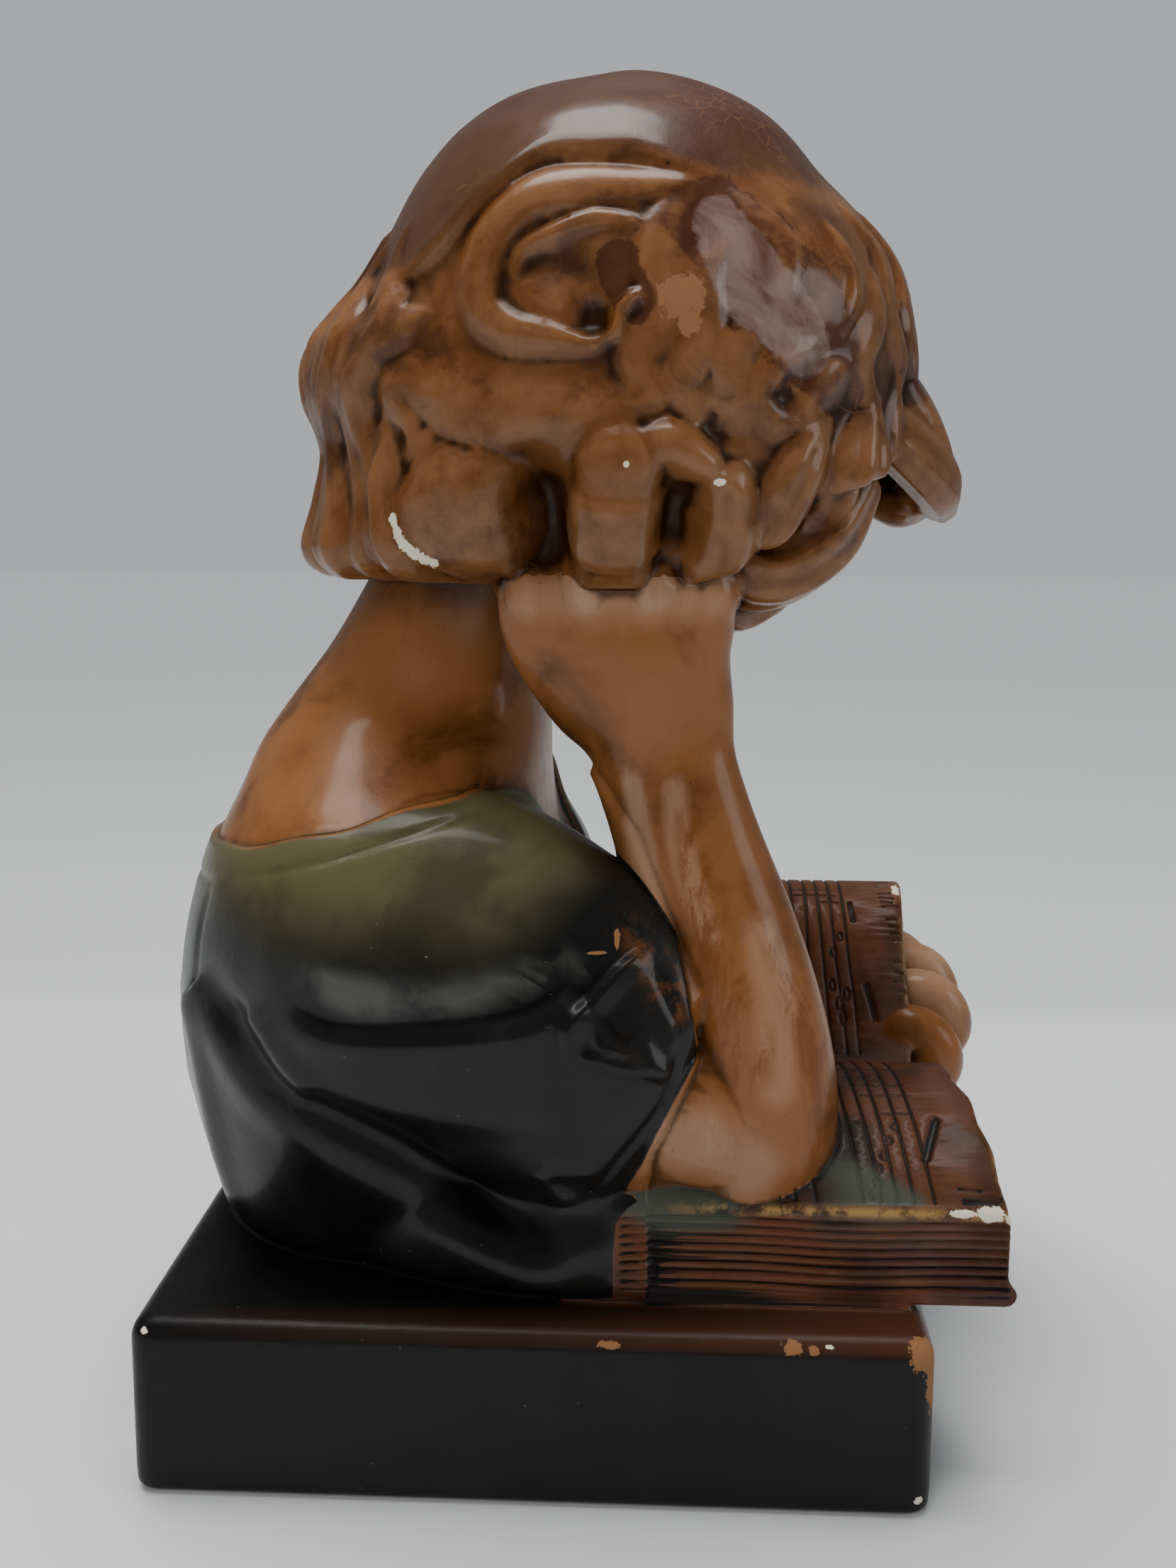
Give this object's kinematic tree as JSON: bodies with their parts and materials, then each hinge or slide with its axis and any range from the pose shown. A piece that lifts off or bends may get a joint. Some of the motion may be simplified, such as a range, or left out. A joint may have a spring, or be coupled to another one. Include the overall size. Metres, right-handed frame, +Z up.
{
  "type": "plaster bust",
  "caption": "Painted plaster bust of a child with wavy bobbed hair, head bowed on the right hand, elbow on an open music book, robe falling to a block plinth.",
  "frame": {"origin": "centre of the plinth's underside", "axes": "+Z up, the figure faces -Y, its right side is -X"},
  "size_m": [0.229, 0.2494, 0.3781],
  "materials": {
    "painted_plaster": "painted plaster, satin to glossy varnish, worn at the edges"
  },
  "bodies": {
    "root": {"plaster_bust": "painted_plaster"}
  },
  "joints": []
}
